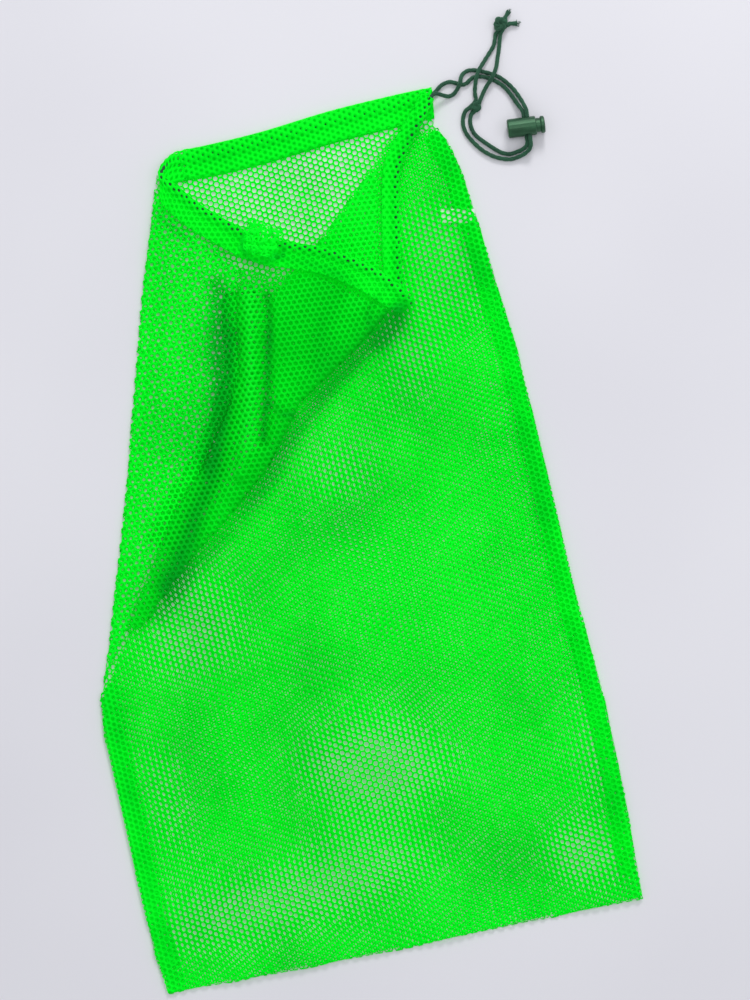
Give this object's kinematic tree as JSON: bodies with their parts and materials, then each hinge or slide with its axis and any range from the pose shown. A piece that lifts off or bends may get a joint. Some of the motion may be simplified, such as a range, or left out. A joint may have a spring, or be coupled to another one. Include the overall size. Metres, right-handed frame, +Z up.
{
  "type": "mesh laundry bag",
  "caption": "Drawstring laundry bag of hexagonal polyester net, lying flat with its mouth half open and one side folded over, closed by a round cord with a barrel cord lock.",
  "frame": {"origin": "on the table, below the middle of the bag without its free cord", "axes": "+Y along the bag's length from the bottom fold to the mouth, +X across it to the right side seam, +Z up"},
  "size_m": [0.4251, 0.6731, 0.0267],
  "materials": {
    "net": "knitted polyester net with round-cornered hexagonal holes",
    "thread": "spun polyester sewing thread",
    "cord": "round braided polyester cord",
    "label": "woven satin tape, blank",
    "lock_plastic": "moulded, fine spark texture",
    "spring_steel": "drawn wire"
  },
  "bodies": {
    "bag": {"back_panel": "net", "back_panel_wrap": "net", "front_panel": "net", "front_panel_turnback": "net", "front_flap": "net", "hem_back": "net", "hem_corner_left": "net", "hem_wrap": "net", "seam_junction": "net", "hem_flap": "net", "hem_corner_front": "net", "hem_turnback": "net", "right_side_seam": "net", "left_side_seam": "net", "left_side_seam_upper": "net", "hem_stitch_back": "thread", "hem_stitch_wrap": "thread", "hem_stitch_flap": "thread", "hem_stitch_turnback": "thread", "right_seam_thread": "thread", "left_seam_thread": "thread", "mouth_bar_tack": "thread", "care_label": "label", "drawcord": "cord", "cord_strand_a": "cord", "cord_strand_b": "cord", "cord_end_a": "cord", "cord_end_b": "cord", "cord_tail_a": "cord", "cord_tail_b": "cord", "mid_knot": "cord", "end_knot": "cord"},
    "cord_lock": {"cord_lock_barrel": "lock_plastic", "cord_lock_spring": "spring_steel"},
    "plunger": {"cord_lock_plunger": "lock_plastic"}
  },
  "joints": [
    {"name": "lock_slide", "type": "slide", "parent": "bag", "child": "cord_lock", "axis": [0.0924, 0.9957, 0], "range_m": [-0.004, 0.004]},
    {"name": "plunger_press", "type": "slide", "parent": "cord_lock", "child": "plunger", "axis": [-0.9957, 0.0924, 0], "range_m": [0, 0.003], "stiffness_N_per_m": 500, "springref_m": -0.004, "deforming": ["cord_lock_spring"]}
  ]
}
